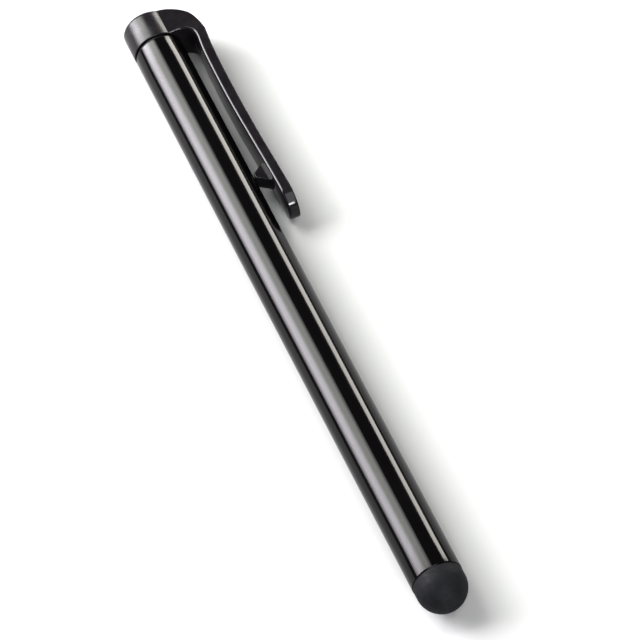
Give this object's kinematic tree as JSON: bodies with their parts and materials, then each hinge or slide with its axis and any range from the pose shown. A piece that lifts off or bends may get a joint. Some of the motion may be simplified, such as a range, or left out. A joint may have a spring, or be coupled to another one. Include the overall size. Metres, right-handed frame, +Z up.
{
  "type": "touchscreen stylus pen",
  "caption": "Slim touchscreen stylus: a glossy dark metal tube with a hollow rubber dome tip and a moulded cap whose springy pocket clip runs along the barrel.",
  "frame": {"origin": "on the table, under the middle of the stylus's overall box", "axes": "+X along the barrel from the cap to the tip, +Z up from the table, +Y to the side that the clip lies on"},
  "size_m": [0.1066, 0.0108, 0.007],
  "materials": {
    "barrel_metal": "polished tube with a glossy gunmetal-black coating",
    "cap_plastic": "satin to semi-gloss gunmetal-black",
    "bush_nylon": "black nylon",
    "ring_rubber": "black rubber",
    "holder_brass": "turned brass",
    "tip_rubber": "matte conductive rubber, charcoal"
  },
  "bodies": {
    "barrel_body": {"barrel": "barrel_metal", "cap_bush": "bush_nylon", "tip_holder": "holder_brass"},
    "cap_body": {"cap": "cap_plastic", "spigot_ring": "ring_rubber"},
    "clip": {"clip_arm": "cap_plastic"},
    "tip": {"rubber_tip": "tip_rubber"}
  },
  "joints": [
    {"name": "cap_twist", "type": "hinge", "parent": "barrel_body", "child": "cap_body", "pos_m": [-0.04804, -0.00187, 0.0035], "axis": [1, 0, 0], "continuous": true},
    {"name": "clip_flex", "type": "hinge", "parent": "cap_body", "child": "clip", "pos_m": [-0.04304, 0.00466, 0.00291], "axis": [0, 0.0901, 0.9959], "range_deg": [0, 4.5], "stiffness_Nm_per_rad": 0.9},
    {"name": "tip_press", "type": "slide", "parent": "barrel_body", "child": "tip", "axis": [-1, 0, 0], "range_m": [0, 0.0008], "stiffness_N_per_m": 1500, "deforming": ["rubber_tip"]}
  ]
}
